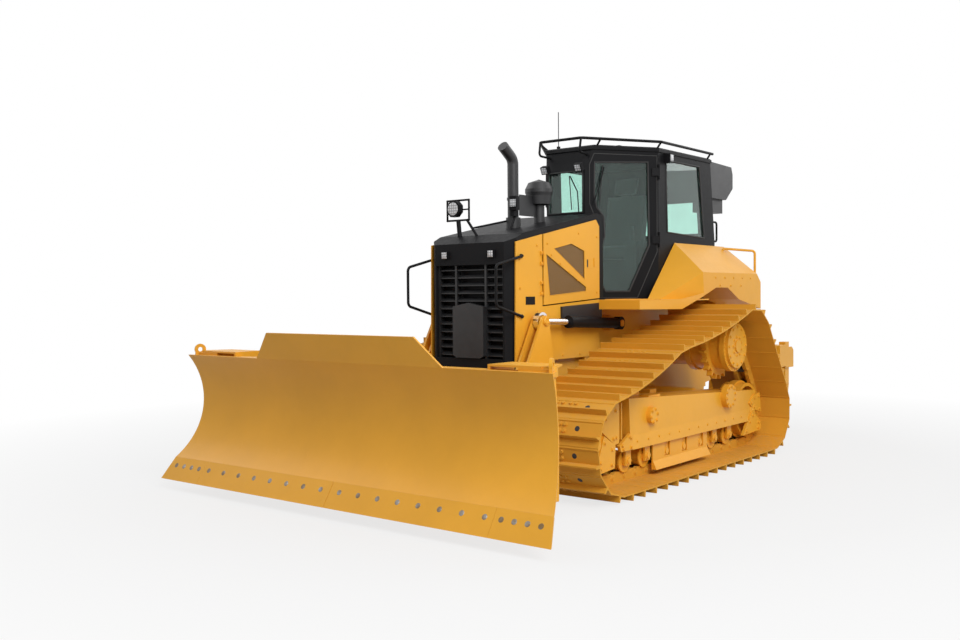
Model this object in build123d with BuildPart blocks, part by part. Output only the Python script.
"""Crawler dozer with a power angle and tilt blade and a rear parallelogram ripper.

Millimetres. +X points forward, +Y to the operator's left, +Z up. The origin is on the
ground at the centre of the machine's overall box, and the track shoes' tips are at Z = 0.
"""
from build123d import *
from math import acos, atan2, cos, hypot, pi, sin, sqrt
import os

os.makedirs("parts", exist_ok=True)

# ---------------------------------------------------------------- driving dimensions
RUN = 0.3                    # gap left between a rolling face and what it rolls on
PIN_PLAY = 0.05              # radial clearance of a pin or a rod in its bore
GAP = 6.0                    # gap round doors and covers

# Tracks
GAUGE = 2160.0               # distance between the two tracks' middles
SHOE_WIDTH = 840.0
PITCH = 190.0                # nominal distance from one chain pin to the next
IDLER_FRONT_X = 1535.0
IDLER_REAR_X = -1470.0
SPROCKET_X = -1000.0
SPROCKET_Z = 1118.0
CARRIER_X = 470.0
CARRIER_Z = 992.0
SPROCKET_TEETH = 21
GROUSER_HEIGHT = 50.0        # from the shoe plate to the grouser's tip
GROUSER_THICK = 12.0
PLATE_THICK = 11.0
LINK_OUT = 44.0              # from the pins' line out to the shoe plate
LINK_IN = 42.0               # from the pins' line in to the rail the rollers run on
LINK_THICK = 38.0
LINK_GAP = 84.0              # clear width between the two rows of links
RUN_SAG = 46.0               # how far the upper run hangs between its supports
IDLER_PITCH_R = 332.0        # radius of the chain's pins round the idlers
CARRIER_R = 84.0
CARRIER_DROP = 17.0          # how far straight links cut inside the carrier roller's circle
ROLLER_R = 85.0
ROLLER_COUNT = 7
ROLLER_PITCH = 330.0
ROLLER_FRONT_X = 985.0

# Track frames
FRAME_OUT = 170.0            # half the width of a track frame
FRAME_BOTTOM = 334.0
FRAME_TOP_FRONT = 768.0
FRAME_TOP_REAR = 640.0
FRAME_FRONT_X = 1030.0
FRAME_REAR_X = -1600.0
SKIRT_FOLD = 462.0           # height of the fold between a frame's side and its skirt
SKIRT_OUT = 14.0             # how far the skirt's foot stands out
YOKE_PLATE = 20.0            # thickness of the plates beside the front idler
END_PLATE = 14.0             # thickness of the plates beside the rear idler
PIVOT = (-840.0, 635.0)      # shaft that the track frames rock on, side view

# Tractor
HULL_HALF = 400.0            # half the width of the main frame between the tracks
HULL_FRONT_X = 1480.0
HOOD_HALF = 475.0            # half the width of the engine enclosure
PANEL_THICK = 12.0
NOSE_X = 1605.0              # front face of the radiator housing
NOSE_BOTTOM = 1075.0
CAP_BOTTOM = 1925.0          # lower edge of the lamp band above the grille
HOOD_FRONT_X = 1560.0
HOOD_REAR_X = 240.0
HOOD_FRONT_Z = 2092.0        # height of the side panels' top edge at the front
HOOD_REAR_Z = 2352.0         # and at the cab
HOOD_CROWN = 55.0            # how far the black hood stands above that edge
DOOR_HINGE_X = 1165.0        # engine door's hinge line
PANEL_FOOT = 1066.0          # lower edge of the side panels
DOOR_BOTTOM_FRONT = 1553.0
DOOR_BOTTOM_REAR = 1607.0

# Cab
CAB_FLOOR = 1590.0
CAB_TOP = 3050.0
CAB_WALL = 40.0
CAB_FRONT_X = 90.0           # windscreen
CAB_FRONT_HALF = 225.0
CAB_PILLAR_X = -585.0        # door's hinge pillar, where the cab is widest
CAB_PILLAR_HALF = 655.0
CAB_REAR_X = -1850.0
CAB_REAR_TOP_X = -1745.0     # rear wall leans forward above its foot
CAB_REAR_LEAN_Z = 2200.0
CAB_BROW_X = 20.0            # windscreen wall leans back to here at the roof
CAB_BROW_Z = 2850.0
ROOF_THICK = 45.0
ROOF_TOP = CAB_TOP + ROOF_THICK
ROOF_OVER = 12.0             # how far the roof stands out over the cab's walls
RAIL_TOP = 3160.0
AERIAL_TOP = 3470.0
GLASS = 6.0

# Fenders and rear
FENDER_OUT = 1050.0
FENDER_IN = 662.0
FENDER_REAR_X = -2160.0
DECK_TOP = 1588.0
DECK_STEP_IN = 628.0         # deck's inner edge ahead of the cab, clear of the lift cylinder
REAR_FACE_X = -2100.0

# Blade and its carriage
BLADE_HALF_TOP = 1916.0      # half the width at the mouldboard's top corners
BLADE_HALF_BELLY = 1872.0    # and at its deepest point, because its ends flare forwards
EDGE_HALF = 2040.0           # half the width over the end bits' tips
TIP = (3329.0, 87.0)         # cutting edge's tip, side view
SEAM = (3216.0, 264.0)       # joint between the cutting edge and the mouldboard
BELLY = (3000.0, 750.0)      # deepest point of the mouldboard's curve
LIP = (3121.0, 1146.0)       # mouldboard's top edge
CREST = (3192.0, 1358.0)     # top of the raised centre
CREST_HALF = 767.0
CREST_FOOT_HALF = 1003.0
SKIN = 18.0
PUSH_PIVOT = (-200.0, 500.0)  # C-frame's rear trunnions, side view
PUSH_PIN_R = 50.0
ARM_IN = 505.0
ARM_OUT = 615.0
ARM_BOTTOM = 400.0
ARM_TOP = 560.0
BALL_X = 2800.0              # vertical axis the blade angles about
TILT_Z = 480.0               # height of the fore-and-aft axis the blade tilts about
LIFT_Y = 560.0
LIFT_BASE = (30.0, 1366.0)   # lift cylinder's rear pin, side view
LIFT_EYE = (1325.0, 1416.0)  # its pin in the tower
TOWER_PLATE = 22.0

# Ripper
RIP_LOWER = (-2185.0, 640.0)
RIP_UPPER = (-2185.0, 900.0)
RIP_REACH = 620.0            # length of the ripper's links
RIP_RISE = 90.0              # how far they climb to the raised beam
RIP_HALF = 980.0
RIP_PIN_R = 28.0
RIP_CYLINDER = (-2175.0, 1290.0)  # its cylinder's front pin, side view
RIP_CYLINDER_PIN = 26.0
RIP_EYE_Z = 1125.0           # height of its rod's eye over the beam
RIP_EYE_PIN = 20.0
RIP_EYE_RING = 38.0          # bore of its rod's eye, wide enough for the drift of its pin
OVERALL_REAR = -TIP[0]       # rearmost point of the ripper


# ---------------------------------------------------------------- helpers
def save(builder, name):
    """Label a finished piece and write its STEP file."""
    builder.part.label = name
    export_step(builder.part, f"parts/{name}.step")


def side_plane(y):
    """Plane of a side view at y; extruding from it goes towards -Y."""
    return Plane.XZ.offset(-y)


def outline(plane, points, depth, mode=Mode.ADD):
    """Extrude a closed straight-sided outline from a plane, in the open part."""
    with BuildSketch(plane) as face:
        with BuildLine():
            Polyline(*points, close=True)
        make_face()
    extrude(face.sketch, amount=depth, mode=mode)


def slab(points, y, depth, mode=Mode.ADD):
    """Extrude a side-view outline inboard from y."""
    outline(side_plane(y), points, depth, mode)


def block(x, y, z, mode=Mode.ADD):
    """Box between (low, high) pairs along each axis."""
    with Locations(((x[0] + x[1]) / 2, (y[0] + y[1]) / 2, (z[0] + z[1]) / 2)):
        Box(x[1] - x[0], y[1] - y[0], z[1] - z[0], mode=mode)


def across(x, z, y, radius, mode=Mode.ADD):
    """Cylinder across the machine between the two ends in y."""
    with Locations(Location((x, (y[0] + y[1]) / 2, z), (90, 0, 0))):
        Cylinder(radius, abs(y[1] - y[0]), mode=mode)


def upright(x, y, z, radius, mode=Mode.ADD):
    """Vertical cylinder between the two heights in z."""
    with Locations((x, y, (z[0] + z[1]) / 2)):
        Cylinder(radius, abs(z[1] - z[0]), mode=mode)


def lengthways(y, z, x, radius, mode=Mode.ADD):
    """Cylinder along X between the two ends in x."""
    with Locations(Location(((x[0] + x[1]) / 2, y, z), (0, 90, 0))):
        Cylinder(radius, abs(x[1] - x[0]), mode=mode)


def bar(start, end, radius, mode=Mode.ADD):
    """Round bar from one point to another."""
    start, end = Vector(*start), Vector(*end)
    with BuildSketch(Plane(origin=start, z_dir=end - start)) as face:
        Circle(radius)
    extrude(face.sketch, amount=(end - start).length, mode=mode)


def tube(points, bend, radius):
    """Round tube along straight runs joined by bends of one radius."""
    with BuildLine() as path:
        FilletPolyline(*points, radius=bend)
    with BuildSketch(Plane(origin=path.line @ 0, z_dir=path.line % 0)) as face:
        Circle(radius)
    sweep(face.sketch, path=path.line)


def both_sides(left, name_left, name_right):
    """Write a left-hand piece and its mirror image."""
    with BuildPart() as right:
        mirror(left.part, about=Plane.XZ)
    save(left, name_left)
    save(right, name_right)


def on_both(builder_part, name):
    """Write a left-hand piece and its mirror image as solids of one node."""
    with BuildPart() as pair:
        add(builder_part)
        mirror(builder_part, about=Plane.XZ)
    save(pair, name)


# ---------------------------------------------------------------- track path
TRACK_Y = GAUGE / 2
SHOE_OUT = TRACK_Y + SHOE_WIDTH / 2
TIP_OUT = LINK_OUT + PLATE_THICK + GROUSER_HEIGHT
IDLER_Z = IDLER_PITCH_R + TIP_OUT
SPROCKET_R = PITCH / (2 * sin(2 * pi / SPROCKET_TEETH))
WRAPS = [                    # centre x, centre z, radius of the pins round it, sag after it
    (IDLER_FRONT_X, IDLER_Z, IDLER_PITCH_R, 0.0),
    (IDLER_REAR_X, IDLER_Z, IDLER_PITCH_R, 0.0),
    (SPROCKET_X, SPROCKET_Z, SPROCKET_R, RUN_SAG),
    (CARRIER_X, CARRIER_Z, CARRIER_R + LINK_IN, RUN_SAG),
]


def leaving_angle(a, b):
    """Direction from each wheel's centre to the straight run from wheel a to wheel b."""
    heading = atan2(b[1] - a[1], b[0] - a[0])
    return heading + acos((a[2] - b[2]) / hypot(b[0] - a[0], b[1] - a[1]))


def chain_line(step=4.0):
    """Closed line through the chain's pins, as closely spaced points."""
    points = []
    count = len(WRAPS)
    for i, wheel in enumerate(WRAPS):
        x, z, r, sag = wheel
        following = WRAPS[(i + 1) % count]
        arrive = leaving_angle(WRAPS[i - 1], wheel)
        leave = leaving_angle(wheel, following)
        while leave > arrive:
            leave -= 2 * pi
        steps = max(2, int((arrive - leave) * r / step))
        for k in range(steps):
            angle = arrive + (leave - arrive) * k / steps
            points.append((x + r * cos(angle), z + r * sin(angle)))
        start = (x + r * cos(leave), z + r * sin(leave))
        end = (following[0] + following[2] * cos(leave), following[1] + following[2] * sin(leave))
        steps = int(hypot(end[0] - start[0], end[1] - start[1]) / step)
        for k in range(steps):
            t = k / steps
            droop = 4 * sag * t * (1 - t)
            points.append((start[0] + (end[0] - start[0]) * t, start[1] + (end[1] - start[1]) * t - droop))
    return points


def chain_pins():
    """Pin centres at equal distances along the chain's line."""
    line = chain_line()
    lengths = [0.0]
    for a, b in zip(line, line[1:] + line[:1]):
        lengths.append(lengths[-1] + hypot(b[0] - a[0], b[1] - a[1]))
    count = round(lengths[-1] / PITCH)
    pins = []
    k = 0
    for i in range(count):
        target = lengths[-1] * i / count
        while lengths[k + 1] < target:
            k += 1
        t = (target - lengths[k]) / (lengths[k + 1] - lengths[k])
        a, b = line[k], line[(k + 1) % len(line)]
        pins.append((a[0] + (b[0] - a[0]) * t, a[1] + (b[1] - a[1]) * t))
    return pins


PINS = chain_pins()


def link_frames():
    """For each link: its first pin, unit direction to the next pin, outward normal, length."""
    frames = []
    for a, b in zip(PINS, PINS[1:] + PINS[:1]):
        length = hypot(b[0] - a[0], b[1] - a[1])
        along = ((b[0] - a[0]) / length, (b[1] - a[1]) / length)
        frames.append((a, along, (-along[1], along[0]), length))
    return frames


LINKS = link_frames()


def at_link(link, along, out):
    """Point of the side view at a distance along a link and outwards from its pins."""
    (x, z), (ux, uz), (nx, nz), _ = link
    return (x + ux * along + nx * out, z + uz * along + nz * out)


def joint_point(i, out):
    """Point outwards of pin i, on the line that halves the angle between its two links."""
    before, link = LINKS[i - 1], LINKS[i]
    nx, nz = before[2][0] + link[2][0], before[2][1] + link[2][1]
    size = hypot(nx, nz)
    stretch = out / ((nx * link[2][0] + nz * link[2][1]) / size)
    return (link[0][0] + nx / size * stretch, link[0][1] + nz / size * stretch)


def make_tracks():
    """Each track is one closed loop: shoe plates with grousers, and two rows of links."""
    shoe_line = []
    for i, link in enumerate(LINKS):
        plate = LINK_OUT + PLATE_THICK
        shoe_line.append(joint_point(i, plate))
        for along, out in [
            (PITCH * 0.62, plate),
            (PITCH * 0.66, TIP_OUT),
            (PITCH * 0.66 + GROUSER_THICK, TIP_OUT),
            (PITCH * 0.70 + GROUSER_THICK, plate),
        ]:
            shoe_line.append(at_link(link, along, out))
    count = len(LINKS)
    shoe_inside = [joint_point(i, LINK_OUT) for i in range(count)]
    link_outside = [joint_point(i, LINK_OUT + PLATE_THICK / 2) for i in range(count)]
    link_inside = []
    for i, link in enumerate(LINKS):
        link_inside.append(joint_point(i, -LINK_IN * 0.6))
        link_inside.append(at_link(link, link[3] * 0.2, -LINK_IN))
        link_inside.append(at_link(link, link[3] * 0.8, -LINK_IN))
    with BuildPart() as track:
        slab(shoe_line, SHOE_OUT, SHOE_WIDTH)
        slab(shoe_inside, SHOE_OUT + 1, SHOE_WIDTH + 2, Mode.SUBTRACT)
        for y in (TRACK_Y + LINK_GAP / 2 + LINK_THICK, TRACK_Y - LINK_GAP / 2):
            with BuildSketch(side_plane(y)) as rail:
                with BuildLine():
                    Polyline(*link_outside, close=True)
                make_face()
                with BuildLine():
                    Polyline(*link_inside, close=True)
                make_face(mode=Mode.SUBTRACT)
            extrude(rail.sketch, amount=LINK_THICK)
    both_sides(track, "track_left", "track_right")


# ---------------------------------------------------------------- undercarriage
def tread_radius(pins_radius):
    """Largest wheel that lies inside the straight links wrapped round it."""
    half = PITCH / (2 * pins_radius)
    return pins_radius * cos(half) - LINK_IN - RUN


def make_idlers():
    """Front and rear idlers: rim, guide flange, web and hub, turned about their axles."""
    tread = tread_radius(IDLER_PITCH_R)
    rim = 112.0
    with BuildPart() as idlers:
        for x in (IDLER_FRONT_X, IDLER_REAR_X):
            across(x, IDLER_Z, (TRACK_Y - rim, TRACK_Y + rim), tread)
            across(x, IDLER_Z, (TRACK_Y - rim - 1, TRACK_Y - 34), tread - 34, Mode.SUBTRACT)
            across(x, IDLER_Z, (TRACK_Y + 34, TRACK_Y + rim + 1), tread - 34, Mode.SUBTRACT)
            across(x, IDLER_Z, (TRACK_Y - 90, TRACK_Y + 90), 95)
            across(x, IDLER_Z, (TRACK_Y - 36, TRACK_Y + 36), tread + 22)
    on_both(idlers.part, "idlers")


def make_rollers():
    """Bottom rollers and the carrier roller of each side, with flanges astride the links."""
    tread = LINK_GAP / 2 + LINK_THICK
    bottom_z = TIP_OUT + LINK_IN + RUN + ROLLER_R
    flange = ROLLER_R + 11
    collar = 115
    with BuildPart() as rollers:
        for i in range(ROLLER_COUNT):
            x = ROLLER_FRONT_X - i * ROLLER_PITCH
            across(x, bottom_z, (TRACK_Y - tread - 3, TRACK_Y + tread + 3), ROLLER_R)
            for side in (-1, 1):
                across(x, bottom_z, (TRACK_Y + side * (tread + 3), TRACK_Y + side * (tread + 18)), flange)
                across(x, bottom_z, (TRACK_Y + side * (tread + 18), TRACK_Y + side * collar), 44)
            for y in (TRACK_Y - collar - 20, TRACK_Y + collar):
                block((x - 46, x + 46), (y, y + 20), (bottom_z - 34, FRAME_BOTTOM - RUN))
        across(CARRIER_X, CARRIER_Z, (TRACK_Y - 88, TRACK_Y + 88), CARRIER_R - CARRIER_DROP)
    on_both(rollers.part, "rollers")


def frame_top(x):
    """Height of the track frame's sloping top at x."""
    share = (x - FRAME_REAR_X) / (FRAME_FRONT_X - FRAME_REAR_X)
    return FRAME_TOP_REAR + (FRAME_TOP_FRONT - FRAME_TOP_REAR) * share


# plates beside the idlers, side view
YOKE_UPPER = [(1202, 751), (1436, 666), (1518, 571), (1257, 407), (1190, 415)]
YOKE_LOWER = [(1425, 498), (1526, 271), (1521, 196), (1261, 215), (1248, 403)]
HEAD_BRACKET = [(1206, 389), (1026, 478), (985, 459), (985, 338), (1178, 338)]
END_UPPER = [(-1371, 515), (-1478, 589), (-1630, 604), (-1665, 400), (-1470, 445)]
END_LOWER = [(-1451, 430), (-1660, 300), (-1660, 217), (-1213, 201), (-1340, 335)]


def idler_cheeks(inner, outer):
    """Plates, arms and bolted ends that hold the two idlers of a track frame."""
    plates = [
        (YOKE_UPPER, outer, YOKE_PLATE), (YOKE_LOWER, outer, YOKE_PLATE),
        (YOKE_UPPER, inner + YOKE_PLATE, YOKE_PLATE), (YOKE_LOWER, inner + YOKE_PLATE, YOKE_PLATE),
        (HEAD_BRACKET, outer + END_PLATE, 2 * END_PLATE),
        (END_UPPER, outer + END_PLATE, 2 * END_PLATE), (END_LOWER, outer + END_PLATE, 2 * END_PLATE),
    ]
    for points, y, thick in plates:
        slab(points, y, thick)
    # arms to the idlers' axles, inside those plates
    for y in (outer - YOKE_PLATE + 1, inner + YOKE_PLATE + 25 - 1):
        slab([
            (1188, 560), (1188, 420), (IDLER_FRONT_X + 60, IDLER_Z - 90), (IDLER_FRONT_X + 60, IDLER_Z + 60),
        ], y, 25)
        slab([
            (FRAME_REAR_X + 80, 400), (FRAME_REAR_X + 80, 600),
            (IDLER_REAR_X - 150, IDLER_Z + 90), (IDLER_REAR_X - 150, IDLER_Z - 90),
        ], y, 25)
    for x in (IDLER_FRONT_X, IDLER_REAR_X):
        across(x, IDLER_Z, (TRACK_Y + 90 + RUN, outer - YOKE_PLATE + 14), 62)
        across(x, IDLER_Z, (inner + YOKE_PLATE - 14, TRACK_Y - 90 - RUN), 62)


def roller_guard(y):
    """Guard rail outside the middle rollers, with a slot at each one's end cap."""
    low, high = 108, FRAME_BOTTOM + 10
    front = ROLLER_FRONT_X - 1.2 * ROLLER_PITCH
    rear = ROLLER_FRONT_X - 4.4 * ROLLER_PITCH
    slab([(front, high), (front, low), (rear, low), (rear, high)], y + 14, 14)
    for i in (2, 3, 4):
        x = ROLLER_FRONT_X - i * ROLLER_PITCH
        block((x - 50, x + 50), (y - 1, y + 15), (200, FRAME_BOTTOM - 1), Mode.SUBTRACT)
    outline(Plane.YZ.offset(rear), [(y + 13, 185), (y + 50, low), (y + 13, low)], front - rear)


def make_track_frames():
    """Box beam of each side with its idlers' cheeks, recoil gear, roller guard, cover and brackets."""
    inner, outer = TRACK_Y - FRAME_OUT, TRACK_Y + FRAME_OUT
    with BuildPart() as frame:
        slab([
            (FRAME_FRONT_X, FRAME_TOP_FRONT), (FRAME_FRONT_X - 18, SKIRT_FOLD),
            (FRAME_FRONT_X - 50, FRAME_BOTTOM),
            (FRAME_REAR_X + 60, FRAME_BOTTOM), (FRAME_REAR_X + 60, FRAME_TOP_REAR),
        ], outer, outer - inner)
        # hollow that takes the rear idler
        hollow = (IDLER_REAR_X - 400, IDLER_REAR_X + 390)
        block(hollow, (TRACK_Y - 125, TRACK_Y + 125), (200, 900), Mode.SUBTRACT)
        # skirt that leans out below the fold
        outline(Plane.YZ.offset(IDLER_REAR_X + 130), [
            (outer - 1, SKIRT_FOLD), (outer + SKIRT_OUT, FRAME_BOTTOM), (outer - 1, FRAME_BOTTOM),
        ], FRAME_FRONT_X - 45 - IDLER_REAR_X - 130)
        # recoil cylinder and the bulkheads it joins to the yoke
        lengthways(TRACK_Y, 590, (FRAME_FRONT_X - 40, 1200), 78)
        for x in (1143, 1188):
            block((x, x + 13), (inner, outer), (440, 742))
        idler_cheeks(inner, outer)
        roller_guard(outer - 33)
        # carrier roller's bracket
        across(CARRIER_X, CARRIER_Z, (inner + 20, TRACK_Y - 88 - RUN), 45)
        slab([
            (CARRIER_X - 90, frame_top(CARRIER_X - 90) - 5), (CARRIER_X + 90, frame_top(CARRIER_X + 90) - 5),
            (CARRIER_X + 45, CARRIER_Z), (CARRIER_X - 45, CARRIER_Z),
        ], inner + 70, 50)
        seat_top = frame_top(CARRIER_X + 85) + 16
        block((CARRIER_X - 20, CARRIER_X + 190), (outer - 110, outer - 20), (700, seat_top))
        # recoil gear's cover and the pivot shaft's
        across(665, 595, (outer, outer + 42), 74)
        across(PIVOT[0], PIVOT[1], (outer, outer + 58), 115)
    on_both(frame.part, "track_frames")


def make_final_drives():
    """Sprocket rim with its teeth, and the hub that carries it outside the tractor."""
    tooth_tip = SPROCKET_R + 14
    root = SPROCKET_R - 30
    teeth = []
    for i in range(SPROCKET_TEETH):
        for share, radius in [(0.0, root), (0.3, root), (0.42, tooth_tip), (0.58, tooth_tip), (0.7, root)]:
            angle = 2 * pi * (i + share) / SPROCKET_TEETH
            teeth.append((SPROCKET_X + radius * cos(angle), SPROCKET_Z + radius * sin(angle)))
    # steps of the hub: its two ends in y, and its radius
    steps = [((840, 900), 250), ((900, TRACK_Y + 140), 232), ((TRACK_Y + 140, TRACK_Y + 192), 252),
             ((TRACK_Y + 192, TRACK_Y + 222), 218), ((TRACK_Y + 222, TRACK_Y + 236), 62)]
    with BuildPart() as drive:
        slab(teeth, TRACK_Y + 28, 56)
        for ends, radius in steps:
            across(SPROCKET_X, SPROCKET_Z, ends, radius)
    on_both(drive.part, "final_drives")


# ---------------------------------------------------------------- tractor
def make_main_frame():
    """Hull between the tracks, rear case, pivot shaft, equaliser bar, trunnions and ripper brackets."""
    deep = CAB_FLOOR - RUN
    with BuildPart() as frame:
        slab([
            (HULL_FRONT_X, 480), (HULL_FRONT_X, 1065), (235, 1065), (235, deep), (CAB_REAR_X, deep),
            (CAB_REAR_X, 1440), (REAR_FACE_X, 1440), (REAR_FACE_X, 560), (-1900, 470),
        ], HULL_HALF, 2 * HULL_HALF)
        across(SPROCKET_X, SPROCKET_Z, (-840, 840), 200)
        across(PIVOT[0], PIVOT[1], (-TRACK_Y + FRAME_OUT + RUN, TRACK_Y - FRAME_OUT - RUN), 62)
        block((-60, 60), (-TRACK_Y + FRAME_OUT + RUN, TRACK_Y - FRAME_OUT - RUN), (652, 750))
        across(PUSH_PIVOT[0], PUSH_PIVOT[1], (-640, 640), PUSH_PIN_R)
        for side in (-1, 1):
            # lift cylinder's rear pin, and the rests of the side panels
            across(LIFT_BASE[0], LIFT_BASE[1], (side * (HULL_HALF - 5), side * 605), 32)
            across(LIFT_BASE[0], LIFT_BASE[1], (side * (HULL_HALF - 5), side * 480), 75)
            for x in (420, 1250):
                block((x - 60, x + 60), (side * 431 - 31.7, side * 431 + 31.7), (1000, PANEL_FOOT - RUN))
        # ripper's brackets and pins
        for y in (-350, 310):
            slab([
                (REAR_FACE_X + 5, 560), (REAR_FACE_X + 5, 1000), (RIP_UPPER[0] - 60, 960),
                (RIP_LOWER[0] - 60, 580),
            ], y + 40, 40)
        for y in (-85, 57):
            slab([
                (REAR_FACE_X + 5, 1150), (REAR_FACE_X + 5, 1400),
                (RIP_CYLINDER[0] - 40, RIP_CYLINDER[1] + 40), (RIP_CYLINDER[0] - 40, RIP_CYLINDER[1] - 40),
            ], y + 28, 28)
        across(RIP_CYLINDER[0], RIP_CYLINDER[1], (-80, 80), RIP_CYLINDER_PIN)
        for p in (RIP_LOWER, RIP_UPPER):
            across(p[0], p[1], (-340, 340), RIP_PIN_R)
    save(frame, "main_frame")


def make_engine():
    """Engine as one plain block at its own place and size."""
    with BuildPart() as engine:
        block((330, 1180), (-330, 330), (1065 + RUN, 1900))
        fillet(engine.edges().filter_by(Axis.X), 40)
    save(engine, "engine_block")


def hood_edge(x):
    """Height of the side panels' top edge at x."""
    share = (HOOD_FRONT_X - x) / (HOOD_FRONT_X - HOOD_REAR_X)
    return HOOD_FRONT_Z + (HOOD_REAR_Z - HOOD_FRONT_Z) * share


NOSE_FLAT_HALF = 385.0       # half the width of the nose's flat front
NOSE_SIDE_X = 1530.0         # where its bevelled corners meet the side panels
NOSE_SIDE_HALF = HOOD_HALF - PANEL_THICK - RUN
GRILLE_TOP = 1905.0
GRILLE_BOTTOM = 1095.0
MULLION_Y = 165.0
SLAT_COUNT = 12
NOSE_SKIRT = 1010.0          # lower edge of the skirt in front of the main frame


def make_nose():
    """Radiator housing: bevelled shell with the grille's opening, and the grille in it."""
    bevel = [
        (NOSE_SIDE_X, -NOSE_SIDE_HALF), (NOSE_X, -NOSE_FLAT_HALF), (NOSE_X, NOSE_FLAT_HALF),
        (NOSE_SIDE_X, NOSE_SIDE_HALF),
    ]
    back = HOOD_FRONT_X - 220
    foot = HULL_FRONT_X + RUN
    half = NOSE_FLAT_HALF - 15
    with BuildPart() as nose:
        outline(Plane.XY.offset(NOSE_BOTTOM), bevel + [
            (back, NOSE_SIDE_HALF), (back, -NOSE_SIDE_HALF),
        ], CAP_BOTTOM - NOSE_BOTTOM)
        outline(Plane.XY.offset(NOSE_SKIRT), bevel + [
            (foot, NOSE_SIDE_HALF), (foot, -NOSE_SIDE_HALF),
        ], NOSE_BOTTOM + 1 - NOSE_SKIRT)
        block((NOSE_X - 110, NOSE_X + 10), (-half, half), (GRILLE_BOTTOM, GRILLE_TOP), Mode.SUBTRACT)
        block((back - 10, NOSE_X - 150), (-half, half), (NOSE_BOTTOM - 10, CAP_BOTTOM + 10), Mode.SUBTRACT)
    save(nose, "radiator_housing")

    front = NOSE_X - 25
    with BuildPart() as grille:
        for y in (-half + RUN, -MULLION_Y - 10, MULLION_Y - 10, half - 20 - RUN):
            block((front - 60, front), (y, y + 20), (GRILLE_BOTTOM + RUN, GRILLE_TOP - RUN))
        pitch = (GRILLE_TOP - GRILLE_BOTTOM) / SLAT_COUNT
        for i in range(SLAT_COUNT):
            z = GRILLE_BOTTOM + pitch * (i + 0.3)
            slab([
                (front - 50, z + 26), (front - 50, z + 34), (front - 8, z + 8), (front - 8, z),
            ], half - RUN, 2 * (half - RUN))
        # peaked deflector in front of the fan
        outline(Plane.YZ.offset(front - 5), [
            (-170, 1120), (-130, 1100), (130, 1100), (170, 1120), (170, 1545), (0, 1578), (-170, 1545),
        ], 48)
    save(grille, "radiator_grille")


def make_hood():
    """Black hood: sloping top with bevelled edges, and the lamp band over the nose."""
    top = HOOD_CROWN
    with BuildPart() as hood:
        slab([
            (HOOD_REAR_X, hood_edge(HOOD_REAR_X) - 40), (HOOD_REAR_X, hood_edge(HOOD_REAR_X) + top),
            (HOOD_FRONT_X - 120, hood_edge(HOOD_FRONT_X - 120) + top), (NOSE_X, HOOD_FRONT_Z),
            (NOSE_X, CAP_BOTTOM + RUN), (HOOD_FRONT_X - 220, CAP_BOTTOM + RUN),
            (HOOD_FRONT_X - 220, hood_edge(HOOD_FRONT_X - 220) - 40),
        ], NOSE_SIDE_HALF, 2 * NOSE_SIDE_HALF)
        # cowl between the hood and the windscreen, clear of the doors' swing
        outline(Plane.XY.offset(CAB_FLOOR + 20), [
            (HOOD_REAR_X + 1, NOSE_SIDE_HALF), (150, NOSE_SIDE_HALF), (CAB_FRONT_X + 6, 300),
            (CAB_FRONT_X + 6, -300),
            (150, -NOSE_SIDE_HALF), (HOOD_REAR_X + 1, -NOSE_SIDE_HALF),
        ], hood_edge(HOOD_REAR_X) + top - 10 - CAB_FLOOR - 20)
        for side in (-1, 1):
            # the nose's bevelled corners
            outline(Plane.XY.offset(CAP_BOTTOM - 5), [
                (NOSE_X, side * NOSE_FLAT_HALF), (NOSE_X + 5, side * NOSE_FLAT_HALF),
                (NOSE_X + 5, side * (NOSE_SIDE_HALF + 5)), (NOSE_SIDE_X, side * (NOSE_SIDE_HALF + 5)),
                (NOSE_SIDE_X, side * NOSE_SIDE_HALF),
            ], 500, Mode.SUBTRACT)
    save(hood, "hood")


def make_side_panels():
    """Fixed yellow panels ahead of the engine doors and below them."""
    with BuildPart() as panel:
        slab([
            (HOOD_FRONT_X + 10, NOSE_BOTTOM), (HOOD_FRONT_X - 5, HOOD_FRONT_Z),
            (DOOR_HINGE_X + GAP, hood_edge(DOOR_HINGE_X)),
            (DOOR_HINGE_X + GAP, DOOR_BOTTOM_FRONT - 2 * GAP), (HOOD_REAR_X, DOOR_BOTTOM_REAR - 2 * GAP),
            (HOOD_REAR_X, PANEL_FOOT),
            (1470, PANEL_FOOT), (1470, NOSE_BOTTOM),
        ], HOOD_HALF, PANEL_THICK)
        # fixed halves of the engine door's hinges
        for z in (1700, 1960):
            upright(DOOR_HINGE_X, HOOD_HALF + 14, (z - 62, z + 62), 5)
            for low in (z - 62, z + 32):
                upright(DOOR_HINGE_X, HOOD_HALF + 14, (low, low + 30), 9)
                block((DOOR_HINGE_X, DOOR_HINGE_X + 40), (HOOD_HALF - 1, HOOD_HALF + 10), (low, low + 30))
    on_both(panel.part, "side_panels")


MESH_LOWER = [(1123, 2000), (1069, 1635), (479, 1673), (479, 1712)]
MESH_UPPER = [(1000, 2050), (723, 2105), (507, 2045), (502, 1783)]


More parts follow.
